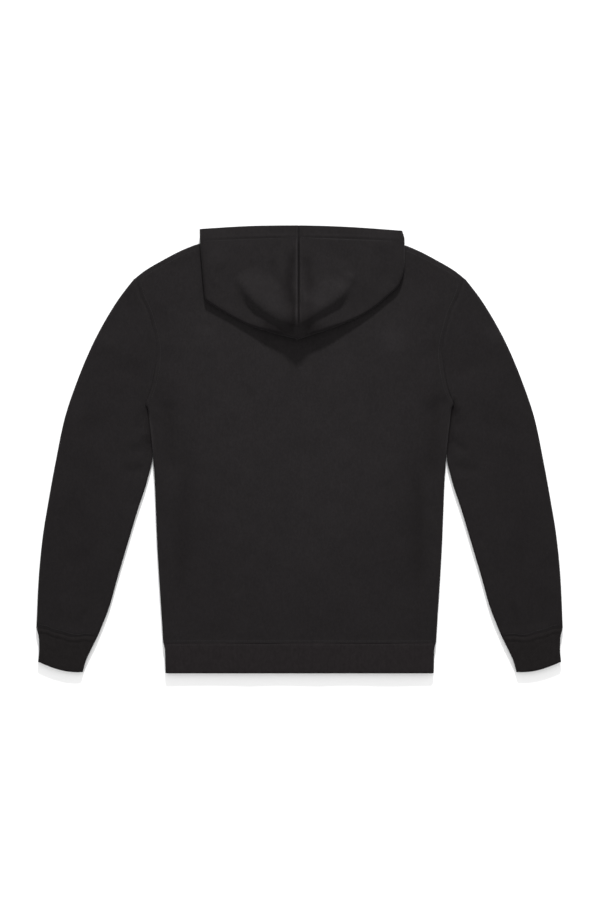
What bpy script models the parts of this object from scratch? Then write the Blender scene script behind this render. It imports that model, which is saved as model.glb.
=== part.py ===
"""A plain black zip-up hoodie, laid flat and face down, with its hood turned down on the back.

Axes: +X across the garment, +Y from hem to hood, +Z up from the surface that it lies on. The origin is
under the middle of its box. Sizes are in millimetres and become metres where a mesh is made. The cloth is
walls: every piece is a grid of points along the middle of its cloth, moved out to both faces.
"""

import math

import bpy
import numpy as np

for thing in list(bpy.data.objects):
    bpy.data.objects.remove(thing, do_unlink=True)

MM = 0.001

# Cloth and seams
CLOTH = 2.2  # brushed fleece
RIB = 3.4  # rib knit, folded double
SEAM = 0.3  # between two pieces at a seam
LAID = 8.0  # height of the body and sleeves, both layers
HEM_LAID = 9.0  # height of the hem rib, both layers

# Lines across the garment
HEM_BOTTOM = -372.5
HEM_SEAM = -322.5
UNDERARM = 75.8
ARMHOLE_TOP = 282.5
NECK_SIDE = 95.0  # half the width of the neck
ZIP_TOP = 276.0

# The body's side, from hem seam to underarm
SIDE = dict(
    y=(-322.5, -284, -217.5, -150.8, -84, -50, -12.5, 15, 45, 75.8),
    x=(227.7, 230, 234.3, 238, 240.6, 242, 245.2, 248.8, 253, 257),
)
# The armhole seam, from underarm to shoulder
ARMHOLE = dict(
    y=(75.8, 86, 107, 144, 162, 182, 208, 224, 241, 254, 282.5),
    x=(257, 253.5, 246, 239.2, 238, 240, 246.5, 251, 257.5, 264, 272.5),
)
# The outline of the shoulder, from neck to sleeve
SHOULDER = dict(
    x=(95, 130, 170, 195.7, 227.8, 256.2, 272.5),
    y=(357, 352, 342.5, 332.5, 315.8, 299.2, 286.5),
)
# Necklines, from the middle to the side of the neck
BACK_NECK = dict(x=(0, 45, 80, 95), y=(315, 316, 322, 352.7))
FRONT_NECK = dict(x=(4.5, 45, 72, 88, 95), y=(276, 290, 312, 335, 353))

# The sleeve's sections, from armhole to cuff seam: where its outer and inner folds are
SLEEVE = dict(
    outer_x=(272.5, 301.5, 341, 369.5, 391.7, 405.5, 417.7, 428.3, 434.5, 437.7),
    outer_y=(286.5, 249.2, 182.5, 115.8, 49.2, -17.5, -84.2, -150.8, -217.5, -297.5),
    inner_x=(257.5, 255.6, 250.3, 246, 255, 271, 287, 303.5, 317.6, 336),
    inner_y=(75, 60, 20, -14, -52, -104, -157.5, -213, -263, -310),
)
# The cuff's sections, from its seam to its end
CUFF = dict(
    outer_x=(437.5, 435.6, 435.4, 436.7),
    outer_y=(-298.3, -317, -335, -353),
    inner_x=(336.6, 348, 357, 362.5),
    inner_y=(-310.6, -334, -354, -371),
)

# The hem rib's half width at its seam, just below and at its bottom
HEM_HALF = (227.2, 224.9, 223.9)

# The hood's fold line, from its tip round to its top corner, with the height of the cloth over it
HOOD_SEAM_X = -2.5
HOOD_TOP = 372.5
HOOD_EDGE = dict(
    at=(0, 1, 2, 3, 4, 5, 6, 7, 8),
    left_out=(0, 49, 82.5, 116, 145.2, 157.5, 161.5, 164, 164.5),
    left_y=(181, 194, 206, 223.3, 242.5, 264, 308, 347, 367),
    right_out=(0, 47.5, 87.5, 122.5, 149.5, 168.5, 177, 177.5, 174),
    right_y=(181, 193.5, 213, 235.5, 253, 275, 308, 347, 364),
    ridge=(37, 29, 22, 18, 16, 15.5, 15.5, 15, 13),
)
# Where the hood's lower layer starts, passes and ends: on the back, round the neck's side, on the front
HOOD_UNDER = dict(
    at=(0, 1, 2, 3, 4, 5, 5.5, 6, 6.5, 7, 7.25, 7.5, 8),
    fold_z=(9.4, 9.4, 9.4, 9.4, 9.4, 9.4, 9.4, 9.4, 9.4, 9.4, 8.2, 6.4, 1.4),
    way_out=(0, 36, 62, 90, 112, 124, 122, 117, 109, 100, 91, 79, 66),
    way_y=(255, 258, 264, 276, 292, 315, 330, 345, 356, 363.5, 367, 369, 370),
    way_z=(9.4, 9.4, 9.4, 9.4, 9.4, 9.5, 9.6, 9.6, 9.6, 8.8, 7.8, 6.4, 3.0),
    end_out=(0, 25, 45, 65, 82, 97, 99, 97, 92, 84.5, 76, 65, 8),
    end_y=(310, 310, 311, 313, 320, 346, 352, 356.5, 359, 354.5, 335, 303, 278.5),
    end_z=(9.4, 9.4, 9.4, 9.4, 9.4, 9.6, 9.6, 9.5, 8.8, 7.6, 5.7, 3.7, 3.6),
)
# The hood's largest troughs: ends, depth and half width
HOOD_TROUGHS = (
    dict(start=(-115, 290), end=(-60, 243), depth=3.5, reach=14),
    dict(start=(-60, 243), end=(-6, 198), depth=5.0, reach=14),
    dict(start=(77, 268), end=(62, 238), depth=3.0, reach=14),
    dict(start=(62, 238), end=(2, 208), depth=4.0, reach=14),
)

# The zip
ZIP_EDGE = 4.5  # from the middle to the front's turned edge
TURNED = 12.0  # width of the turned edge
TURNED_CLOTH = 3.4  # its two layers, pressed
CHAIN_HALF = 3.0
CHAIN_LOW, CHAIN_HIGH = 3.2, 5.2
CHAIN_TOP = 267.0
TAPE_LOW, TAPE_HIGH = 3.9, 4.5
TAPE_OUT = 16.0
SLIDER_LOW, SLIDER_HIGH = 262.0, 276.0
PLATE = 0.8
FRONT_PLATE = 2.2  # height of its face
BACK_PLATE = 5.5
HINGE_Y, HINGE_Z = 269.5, 1.6
TAB_LONG, TAB_THICK = 30.0, 0.8
SLIDER_LIFT = 1.8  # how far the slider pushes the back up

# Each look is a slot's name, its colour, roughness and metallic
FLEECE = ("black fleece", (0.022, 0.020, 0.021), 0.95, 0.0)
RIB_KNIT = ("black rib", (0.018, 0.016, 0.017), 0.95, 0.0)
TAPE = ("black tape", (0.015, 0.015, 0.016), 0.85, 0.0)
RESIN = ("black resin", (0.02, 0.02, 0.02), 0.45, 0.0)
METAL = ("black metal", (0.03, 0.03, 0.03), 0.4, 0.9)


def material(name, colour, roughness, metallic):
    made = bpy.data.materials.get(name) or bpy.data.materials.new(name)
    made.use_nodes = True
    surface = made.node_tree.nodes["Principled BSDF"]
    surface.inputs["Base Color"].default_value = (*colour, 1)
    surface.inputs["Roughness"].default_value = roughness
    surface.inputs["Metallic"].default_value = metallic
    return made


def through(keys, values, at):
    """A smooth curve through the values at the keys, which never swings past them."""
    keys, values, at = (np.asarray(a, float) for a in (keys, values, at))
    step = np.diff(keys)
    rise = np.diff(values) / step
    slope = np.concatenate([rise[:1], np.zeros(len(keys) - 2), rise[-1:]])
    same = rise[:-1] * rise[1:] > 0
    both = np.where(same, rise[:-1] + rise[1:], 1)
    slope[1:-1] = np.where(same, 2 * rise[:-1] * rise[1:] / both, 0)
    i = np.clip(np.searchsorted(keys, at, "right") - 1, 0, len(keys) - 2)
    t = np.clip((at - keys[i]) / step[i], 0, 1)
    start = values[i] + t * step[i] * slope[i] * (1 - t) ** 2
    bend = t * t * (3 - 2 * t) * (values[i + 1] - values[i])
    return start + bend - t * t * (1 - t) * step[i] * slope[i + 1]


def column(table, name, at):
    """A named column of a table of sections, at a place from 0, the first row, to 1, the last."""
    return through(np.linspace(0, 1, len(table[name])), table[name], at)


def ease(t):
    t = np.clip(t, 0, 1)
    return t * t * (3 - 2 * t)


def rolled(length, turn, parts):
    """How far a strip of cloth goes on and up as it turns, at each part of its length."""
    along = np.linspace(0, length, parts + 1)[1:]
    if abs(turn) < 1e-6:
        return np.stack([along, np.zeros(parts)], 1)
    radius = length / turn
    angle = along / radius
    return np.stack([radius * np.sin(angle), radius * (1 - np.cos(angle))], 1)


def faces_of(grid, closed, halved, rims):
    """The directions that the cloth faces, at each point of a grid through its middle.

    In a halved piece, the first row lies in a plane of constant X, and so do the rows' flat starts.
    rims says which way the cloth goes on past a seam: (0 down or 1 across, the points, the way).
    """
    down = np.gradient(grid, axis=0, edge_order=2)
    across = np.gradient(grid, axis=1, edge_order=2)
    if closed:
        across = np.roll(grid, -1, axis=1) - np.roll(grid, 1, axis=1)
    for kind, points, way in rims:
        (down, across)[kind][points] = way
    facing = np.cross(down, across)
    if halved:
        facing[0, :, 0] = 0
        facing[:, 0] = (0, 0, np.sign(facing[-1, 1, 2]))
    return facing / np.linalg.norm(facing, axis=2, keepdims=True)


def wall(name, grid, thick, look, closed=False, halved=False, rims=()):
    """A closed wall of cloth around a grid of rows of points. closed joins each row's ends into a tube."""
    rows, columns = grid.shape[:2]
    thick = np.broadcast_to(thick, (rows, columns))[..., None]
    shift = faces_of(grid, closed, halved, rims) * thick / 2
    points = np.concatenate([(grid + shift).reshape(-1, 3), (grid - shift).reshape(-1, 3)]) * MM
    number = np.arange(rows * columns).reshape(rows, columns)
    if closed:
        number = np.concatenate([number, number[:, :1]], 1)
    back = rows * columns
    a, b, c, d = number[:-1, :-1], number[:-1, 1:], number[1:, 1:], number[1:, :-1]
    quads = [np.stack([a, d, c, b], -1).reshape(-1, 4)]
    quads.append(np.stack([a, b, c, d], -1).reshape(-1, 4) + back)
    rims = [number[0], number[-1][::-1]]
    if not closed:
        rims += [number[:, -1], number[:, 0][::-1]]
    for rim in rims:
        p, q = rim[:-1], rim[1:]
        quads.append(np.stack([p, q, q + back, p + back], -1))
    solid(name, points, np.concatenate(quads).tolist(), look)


def solid(name, points, faces, look):
    mesh = bpy.data.meshes.new(name)
    mesh.from_pydata(np.asarray(points).tolist(), [], faces)
    if volume(points, faces) < 0:
        mesh.flip_normals()
    mesh.materials.append(material(*look))
    mesh.shade_smooth()
    mesh.set_sharp_from_angle(angle=math.radians(50))
    made = bpy.data.objects.new(name, mesh)
    bpy.context.collection.objects.link(made)
    return made


def volume(points, faces):
    """Six times the volume inside the faces, below zero if they point in."""
    points = np.asarray(points)
    total = 0.0
    for face in faces:
        for second, third in zip(face[1:-1], face[2:]):
            total += np.dot(points[face[0]], np.cross(points[second], points[third]))
    return total


# ---- The body ----

SIDE_ROWS = 12
ARM_ROWS = 10
PANEL_COLUMNS = 9
ROLL = LAID / 2 - CLOTH / 2  # radius of the cloth's middle where it rolls over an edge
ROLL_PARTS = 3
SHOULDER_WAY = np.array([0.286, 0.958])  # the way that the armhole runs at the shoulder
SLEEVE_WAY = (0.958, -0.286, 0)  # square to it, from body to sleeve
UNDERARM_WAY = np.array([0.32, -0.947])  # the way that the armhole runs at the underarm
UNDERARM_RUN = (0.98, -0.2, 0)  # and the way that the sleeve's inner fold leaves it


def side_x(y):
    return through(SIDE["y"], SIDE["x"], y)


def armhole_x(y):
    return through(ARMHOLE["y"], ARMHOLE["x"], y)


def shoulder_seam(x):
    """The start of the front's roll over the shoulder, which is under its end at the shoulder seam."""
    return through(SHOULDER["x"], SHOULDER["y"], x) - LAID / 2


def arm_rows():
    """The heights of the rows that end on the armhole, which the sleeve's cap shares."""
    return np.linspace(UNDERARM, ARMHOLE_TOP, ARM_ROWS + 1)


def slider_bump(x, y):
    return SLIDER_LIFT * np.exp(-((x / 28) ** 2) - ((y - HINGE_Y) / 32) ** 2)


def panel_rows():
    """Each body row's side end: its height, its half width and how far it turns toward the other layer."""
    below = np.linspace(HEM_SEAM + SEAM, UNDERARM - 8, SIDE_ROWS)
    above = arm_rows()
    y = np.concatenate([below, above])
    reach = np.concatenate([side_x(below), armhole_x(above) - SEAM / 2])
    turn = np.concatenate([np.full(SIDE_ROWS, math.pi / 2), np.zeros(ARM_ROWS + 1)])
    return zip(y, reach, turn)


def edge_strip(reach, turn):
    """A row's last stretch, at the side seam or the armhole: where it starts, and its points on and up."""
    strip = rolled(ROLL * math.pi / 2 - SEAM / 2, turn, ROLL_PARTS)
    start = reach - (LAID / 2 if turn > 0 else strip[-1, 0])
    return start, strip


def back_top(share):
    """The back's top line, neckline then shoulder seam, at a share of its half width."""
    x = share * ARMHOLE["x"][-1]
    neck = through(BACK_NECK["x"], BACK_NECK["y"], x)
    return np.where(x < NECK_SIDE, neck, shoulder_seam(x) - SEAM)


def back_panel():
    """The back, one piece from side seam to side seam."""
    neck_share = NECK_SIDE / ARMHOLE["x"][-1]
    share = np.concatenate([np.linspace(0, neck_share, 5), np.linspace(neck_share, 1, 7)[1:]])
    rows = []
    for y, reach, turn in panel_rows():
        start, strip = edge_strip(reach, turn)
        climb = ease((y - UNDERARM) / (ARMHOLE_TOP - UNDERARM))
        rise = climb * (back_top(share) - back_top(np.ones(1)))
        x = np.concatenate([start * share, start + strip[:, 0]])
        up = np.concatenate([y + rise, np.full(ROLL_PARTS, y)]) - SEAM * climb
        z = LAID - CLOTH / 2 + slider_bump(x, up)
        z[len(share) :] -= strip[:, 1]
        right = np.stack([x, up, z], 1)
        left = right[:0:-1] * (-1, 1, 1)
        rows.append(np.concatenate([left, right]))
    wall("back_panel", np.array(rows), CLOTH, FLEECE)


def front_panel(name, side):
    """A front, from its turned edge beside the zip to the side seam, and over the shoulder to its seam."""
    neck_rows = 3
    inner_y = np.linspace(UNDERARM, ZIP_TOP, ARM_ROWS + 1 - neck_rows)
    neck = np.linspace(0, 1, neck_rows + 1)[1:]
    neck_x = through((0, 1), (ZIP_EDGE, NECK_SIDE), neck**0.8)
    inner = [(ZIP_EDGE, y) for y in inner_y]
    inner += list(zip(neck_x, through(FRONT_NECK["x"], FRONT_NECK["y"], neck_x)))
    rows, thick = [], []
    for i, (y, reach, turn) in enumerate(panel_rows()):
        start, strip = edge_strip(reach, turn)
        from_x, from_y = (ZIP_EDGE, y) if i < SIDE_ROWS else inner[i - SIDE_ROWS]
        plain = np.linspace(TURNED, start - from_x, PANEL_COLUMNS - 1)
        share = np.concatenate([[0, TURNED - 2], plain]) / (start - from_x)
        climb = ease((y - UNDERARM) / (ARMHOLE_TOP - UNDERARM))
        x = from_x + (start - from_x) * share
        chord = shoulder_seam(NECK_SIDE) + (ARMHOLE_TOP - shoulder_seam(NECK_SIDE)) * share
        bulge = shoulder_seam(NECK_SIDE + (start - NECK_SIDE) * share) - chord
        up = from_y + (y - from_y) * share + climb * np.maximum(bulge, 0)
        turned = (np.arange(len(x)) < 2) & (from_y <= ZIP_TOP)
        cloth = np.where(turned, TURNED_CLOTH, CLOTH)
        row = np.stack([x, up, cloth / 2], 1)
        edge = np.stack([start + strip[:, 0], np.full(ROLL_PARTS, y), CLOTH / 2 + strip[:, 1]], 1)
        rows.append(np.concatenate([row, edge]))
        thick.append(np.concatenate([cloth, np.full(ROLL_PARTS, CLOTH)]))
    for on, rise in rolled(math.pi * ROLL, math.pi, 2 * ROLL_PARTS):
        rows.append(rows[SIDE_ROWS + ARM_ROWS] + (*(SHOULDER_WAY * on), rise))
        thick.append(thick[-1])
    grid = np.array(rows)
    rolls = (slice(SIDE_ROWS + ARM_ROWS, None), -1)
    way = np.multiply(SLEEVE_WAY, (side, 1, 1))
    wall(name, grid * (side, 1, 1), np.array(thick), FLEECE, rims=((1, rolls, way),))


# ---- Sleeves, cuffs and hem rib ----

SLEEVE_RINGS = 16
CUFF_RINGS = 5
HEM_ROWS = 4
FOLD_PARTS = 5


def flat_ring(path, ways, thick, laid, last_fold=1.0):
    """A ring of cloth laid flat: its upper layer along a path, a fold, its lower layer back, and a fold.

    ways are the ways that the folds at the path's start and end point. last_fold squeezes the second.
    """
    radius = (laid - thick) / 2
    angle = np.linspace(0, math.pi, FOLD_PARTS + 1)[1:-1, None]

    def fold(end, way, turn, squeeze=1.0):
        flat = end + way * radius * squeeze * np.sin(angle)
        height = radius * min(1, 0.5 + squeeze)
        return np.concatenate([flat, laid / 2 + turn * height * np.cos(angle)], 1)

    high = np.concatenate([path, np.full((len(path), 1), laid - thick / 2)], 1)
    low = np.concatenate([path[::-1], np.full((len(path), 1), thick / 2)], 1)
    return np.concatenate([high, fold(path[-1], ways[1], 1, last_fold), low, fold(path[0], ways[0], -1)])


def edge_point(table, which, t, turn):
    """A point on the outer or inner fold of a sleeve or cuff, and the way square to it, outward."""
    at = np.clip([t - 0.01, t, t + 0.01], 0, 1)
    line = np.stack([column(table, which + "_x", at), column(table, which + "_y", at)], 1)
    run = (line[2] - line[0]) / np.linalg.norm(line[2] - line[0])
    return line[1], turn * np.array([-run[1], run[0]])


def toward(first, second, share):
    """A way that turns from one way to another."""
    mixed = first * (1 - share) + second * share
    return mixed / np.linalg.norm(mixed)


def section(table, t, share, first_way=None, settle=0.0):
    """A straight section of a sleeve or cuff between its folds, and the ways of the folds."""
    outer, outer_way = edge_point(table, "outer", t, 1)
    inner, inner_way = edge_point(table, "inner", t, -1)
    if first_way is not None:
        outer_way = toward(first_way, outer_way, ease(t / settle))
    start, end = outer - outer_way * LAID / 2, inner - inner_way * LAID / 2
    return start + (end - start) * share[:, None], (outer_way, inner_way)


def sleeve(name, side):
    """A sleeve, from the armhole seam to the cuff."""
    y = arm_rows()[::-1]
    cap = np.stack([armhole_x(y) + SEAM / 2, y], 1)
    share = np.linspace(0, 1, ARM_ROWS + 1)
    straight = cap[0] + (cap[-1] - cap[0]) * share[:, None]
    rings = [flat_ring(cap, (SHOULDER_WAY, UNDERARM_WAY), CLOTH, LAID, last_fold=0.15)]
    for t in np.linspace(0, 1, SLEEVE_RINGS)[1:]:
        path, ways = section(SLEEVE, t, share, SHOULDER_WAY, 0.12)
        settled = ease(t / (0.04 + 0.4 * (1 - share[:, None])))
        curve = (1 - settled) * (cap - straight)
        rings.append(flat_ring(path + curve, ways, CLOTH, LAID))
    low_start = len(cap) + FOLD_PARTS - 1
    half = ARM_ROWS // 2
    inner = slice(half, low_start + half + 1)
    way = np.multiply(SLEEVE_WAY, (side, 1, 1))
    run = np.multiply(UNDERARM_RUN, (side, 1, 1))
    rims = ((0, (0, slice(None)), way), (0, (0, inner), run))
    wall(name, np.array(rings) * (side, 1, 1), CLOTH, FLEECE, closed=True, rims=rims)


def cuff(name, side):
    share = np.linspace(0, 1, 7)
    at = np.linspace(0, 1, CUFF_RINGS)
    rings = [flat_ring(*section(CUFF, t, share), RIB, LAID) for t in at]
    wall(name, np.array(rings) * (side, 1, 1), RIB, RIB_KNIT, closed=True)


def hem_rib():
    """The hem rib, one strip round the body from one zip edge to the other."""
    radius = (HEM_LAID - RIB) / 2
    angle = np.linspace(0, math.pi, FOLD_PARTS + 1)[1:-1]
    rows = []
    for t in np.linspace(0, 1, HEM_ROWS):
        turn_x = through((0, 0.25, 1), HEM_HALF, t) - HEM_LAID / 2
        low = np.linspace(ZIP_EDGE, turn_x, 8)
        high = np.linspace(turn_x, 0, 9)
        x = np.concatenate([low, turn_x + radius * np.sin(angle), high])
        fold_z = HEM_LAID / 2 - radius * np.cos(angle)
        z = np.concatenate([np.full(8, RIB / 2), fold_z, np.full(9, HEM_LAID - RIB / 2)])
        y = HEM_SEAM - SEAM / 2 + (HEM_BOTTOM - HEM_SEAM + SEAM / 2) * t
        right = np.stack([x, np.full(len(x), y), z], 1)
        rows.append(np.concatenate([right, right[-2::-1] * (-1, 1, 1)]))
    wall("hem_rib", np.array(rows), RIB, RIB_KNIT)


# ---- The hood ----

HOOD_SPOKES = (*np.arange(0, 7.01, 0.5), 7.25, 7.5, 8)
HOOD_PARTS = 9
HOOD_START = 18.4  # mid height of the cloth at the hood's top edge
HOOD_LOWEST = 13.0  # and in a trough
GATHERED_CLOTH = 1.0


def trough_depth(x, y):
    """How deep the hood's troughs are at a place."""
    depth = np.zeros(np.shape(x))
    for trough in HOOD_TROUGHS:
        start, end = np.array(trough["start"]), np.array(trough["end"])
        run = end - start
        along = np.clip(((x - start[0]) * run[0] + (y - start[1]) * run[1]) / (run @ run), 0, 1)
        away = np.hypot(x - start[0] - along * run[0], y - start[1] - along * run[1])
        depth = np.maximum(depth, trough["depth"] * np.exp(-((away / trough["reach"]) ** 2)))
    return depth


def under_layer(start, low, p):
    """A spoke of the hood's lower layer, from its fold to the neck seam."""
    t = np.linspace(0, 1, HOOD_PARTS)
    at = HOOD_UNDER["at"]
    way = [through(at, HOOD_UNDER["way_" + c], p) for c in ("out", "y", "z")]
    end = [through(at, HOOD_UNDER["end_" + c], p) for c in ("out", "y", "z")]
    x, y = (through((0, 0.5, 1), (start[i], way[i], end[i]), t) for i in (0, 1))
    z = through((0, 0.5, 0.75, 1), (low, way[2], end[2], end[2]), t)
    return np.stack([x, y, z + slider_bump(x, y)], 1)


def hood_half(name, side, part):
    """Half of the hood: spokes run from its top edge over its fold line, and back under to the neck seam."""
    spokes = []
    share = np.linspace(0, 1, HOOD_PARTS)
    angle = np.linspace(0, math.pi, FOLD_PARTS + 2)[1:-1, None]
    for p in HOOD_SPOKES:
        start = np.array([0, HOOD_TOP - 10 * (1 - p / 8)])
        edge = np.array([through(HOOD_EDGE["at"], HOOD_EDGE[part + c], p) for c in ("_out", "_y")])
        way = (edge - start) / np.linalg.norm(edge - start)
        high = through(HOOD_EDGE["at"], HOOD_EDGE["ridge"], p) - CLOTH / 2
        low = through(HOOD_UNDER["at"], HOOD_UNDER["fold_z"], p)
        half = (high - low) / 2
        deep = min(half, 2.5 + 0.5 * half)
        turn = edge - way * (deep + CLOTH / 2)
        flat = start + (turn - start) * share[:, None]
        top = HOOD_START + (high - HOOD_START) * ease(share)
        dent = trough_depth(HOOD_SEAM_X + side * flat[:, 0], flat[:, 1]) * (1 - share**6)
        top = np.maximum(top - dent, HOOD_LOWEST)
        fold = turn + way * deep * np.sin(angle)
        fold_z = low + half * (1 + np.cos(angle))
        upper = np.concatenate([flat, top[:, None]], 1)
        folded = np.concatenate([fold, fold_z], 1)
        spokes.append(np.concatenate([upper, folded, under_layer(turn, low, p)]))
    grid = np.array(spokes)
    grid[..., 0] = HOOD_SEAM_X + side * (grid[..., 0] + SEAM / 2 + 0.05)
    wall(name, grid, hood_cloth(grid), FLEECE, halved=True)


def hood_cloth(grid):
    """The hood's cloth, drawn thinner where it is gathered round the side of the neck."""
    away = np.hypot(np.abs(grid[..., 0] - HOOD_SEAM_X) - NECK_SIDE + 8, grid[..., 1] - 345)
    under = grid[..., 2] < 11
    return np.where(under, GATHERED_CLOTH + (CLOTH - GATHERED_CLOTH) * ease(away / 45 - 0.6), CLOTH)


# ---- The zip ----


def block(name, low, high, look):
    """A plain box between two corners."""
    low, high = np.array(low, float), np.array(high, float)
    pick = [(i, j, k) for i in (0, 1) for j in (0, 1) for k in (0, 1)]
    points = [tuple((low + (high - low) * corner) * MM) for corner in np.array(pick)]
    faces = [(0, 1, 3, 2), (4, 6, 7, 5), (0, 4, 5, 1), (2, 3, 7, 6), (0, 2, 6, 4), (1, 5, 7, 3)]
    return solid(name, points, faces, look)


def plate(name, outline, low, high, look):
    """A flat plate with an outline, between two heights."""
    n = len(outline)
    points = [(x * MM, y * MM, z * MM) for z in (low, high) for x, y in outline]
    faces = [tuple(range(n)), tuple(range(2 * n - 1, n - 1, -1))]
    faces += [(i, i + n, (i + 1) % n + n, (i + 1) % n) for i in range(n)]
    return solid(name, points, faces, look)


def combine(made, other, operation):
    other.hide_render = True
    other.display_type = "WIRE"
    joined = made.modifiers.new(other.name, "BOOLEAN")
    joined.object = other
    joined.operation = operation
    joined.solver = "EXACT"


def zip_fastener():
    for name, side in (("zip_tape_left", -1), ("zip_tape_right", 1)):
        ends = sorted((side * (CHAIN_HALF + SEAM), side * TAPE_OUT))
        low, high = (ends[0], HEM_BOTTOM + 1, TAPE_LOW), (ends[1], ZIP_TOP - 0.5, TAPE_HIGH)
        block(name, low, high, TAPE)
    low, high = (-CHAIN_HALF, HEM_BOTTOM + 1.5, CHAIN_LOW), (CHAIN_HALF, CHAIN_TOP, CHAIN_HIGH)
    block("zip_chain", low, high, RESIN)
    slider()
    pull_tab()


def slider():
    """Two plates joined by a post above the chain's end, and a bridge on the face that holds the tab."""
    outline = [(-3, SLIDER_LOW), (3, SLIDER_LOW), (4, SLIDER_LOW + 5), (4, SLIDER_HIGH - 2)]
    outline += [(2.6, SLIDER_HIGH), (-2.6, SLIDER_HIGH), (-4, SLIDER_HIGH - 2), (-4, SLIDER_LOW + 5)]
    made = plate("zip_slider", outline, FRONT_PLATE, FRONT_PLATE + PLATE, METAL)
    back = plate("slider_back_plate", outline, BACK_PLATE, BACK_PLATE + PLATE, METAL)
    post_low = (-1.2, CHAIN_TOP + 2.5, FRONT_PLATE + 0.2)
    post_high = (1.2, CHAIN_TOP + 6, BACK_PLATE + 0.2)
    post = block("slider_post", post_low, post_high, METAL)
    bar = block("slider_bridge", (-0.7, HINGE_Y - 2.3, 0.3), (0.7, HINGE_Y + 2.3, 1.0), METAL)
    parts = [back, post, bar]
    for which, y in (("lower", HINGE_Y - 2.3), ("upper", HINGE_Y + 1.3)):
        leg_low, leg_high = (-0.7, y, 0.6), (0.7, y + 1.0, FRONT_PLATE + 0.3)
        parts.append(block(f"slider_leg_{which}", leg_low, leg_high, METAL))
    for part in (parts[1], parts[0], *parts[3:], parts[2]):
        combine(made, part, "UNION")


def pull_tab():
    """A flat tab that hangs toward the hem, with a window for the slider's bridge."""
    top = HINGE_Y + 0.35
    outline = [(-1.9, top), (-2.6, top - 1.5), (-2.4, top - 10), (-3, top - TAB_LONG + 2)]
    outline += [(-2, top - TAB_LONG), (2, top - TAB_LONG), (3, top - TAB_LONG + 2)]
    outline += [(2.4, top - 10), (2.6, top - 1.5), (1.9, top)]
    low, high = HINGE_Z - TAB_THICK / 2, HINGE_Z + TAB_THICK / 2
    tab = plate("pull_tab", outline, low, high, METAL)
    window = block("tab_window", (-1.2, top - 8.7, low - 1), (1.2, top - 0.7, high + 1), METAL)
    combine(tab, window, "DIFFERENCE")


back_panel()
for hand, side in (("left", -1), ("right", 1)):
    front_panel(f"front_{hand}", side)
    sleeve(f"sleeve_{hand}", side)
    cuff(f"cuff_{hand}", side)
    hood_half(f"hood_{hand}", side, hand)
hem_rib()
zip_fastener()
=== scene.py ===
"""The looks of a plain black zip-up hoodie that lies face down, with its hood turned down on its back.

Sizes are in millimetres and become metres where a mesh is made. +Y runs from hem to hood and +Z up.
"""

import math

import bpy
import numpy as np
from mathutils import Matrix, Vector
from mathutils.bvhtree import BVHTree


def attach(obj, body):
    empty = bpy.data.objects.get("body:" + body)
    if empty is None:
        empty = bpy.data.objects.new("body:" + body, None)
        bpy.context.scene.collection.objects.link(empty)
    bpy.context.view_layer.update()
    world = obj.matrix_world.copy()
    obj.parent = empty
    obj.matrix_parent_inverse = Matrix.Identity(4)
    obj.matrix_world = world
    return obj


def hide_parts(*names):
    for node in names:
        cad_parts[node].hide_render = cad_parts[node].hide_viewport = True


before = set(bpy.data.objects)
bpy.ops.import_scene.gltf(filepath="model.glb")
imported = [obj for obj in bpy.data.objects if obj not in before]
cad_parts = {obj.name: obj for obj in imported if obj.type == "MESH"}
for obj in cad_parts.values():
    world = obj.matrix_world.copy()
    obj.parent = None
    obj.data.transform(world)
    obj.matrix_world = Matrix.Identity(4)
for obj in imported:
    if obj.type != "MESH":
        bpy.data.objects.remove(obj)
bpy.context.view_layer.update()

# ---- Back panel ----
# One piece of brushed fleece, a jersey knit with its nap inside, from side seam to side seam. It rolls over
# the sides to meet the fronts, and the sleeves, fronts and hem rib are sewn to its edges.

MM = 0.001
CLOTH = 2.2
LAID = 8.0  # height of the body and sleeves, both layers
HEM_SEAM = -322.5
HEM_STITCHES = 3.4  # from the hem's seam to the row of stitches on each side of it
UNDERARM = 75.8
ARMHOLE_TOP = 282.5
NECK_SIDE = 95.0
SIDE = dict(
    y=(-322.5, -284, -217.5, -150.8, -84, -50, -12.5, 15, 45, 66, 75.8),
    x=(227.7, 230, 234.3, 238, 240.6, 242, 244.8, 247.2, 250.6, 253, 257),
)
ARMHOLE = dict(
    y=(75.8, 86, 107, 144, 162, 182, 208, 224, 241, 254, 282.5),
    x=(257, 253.5, 246, 239.2, 238, 240, 246.5, 251, 257.5, 264, 272.5),
)
SHOULDER = dict(
    x=(95, 130, 170, 195.7, 227.8, 256.2, 272.5),
    y=(357, 352, 342.5, 332.5, 315.8, 299.2, 286.5),
)
BACK_NECK = dict(x=(0, 45, 80, 95), y=(315, 316, 322, 352.7))
SIDE_ROWS = 84
ARM_ROWS = 46
NECK_COLUMNS = 22
SHOULDER_COLUMNS = 42
ROLL = LAID / 2 - CLOTH / 2
ROLL_PARTS = 6

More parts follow.
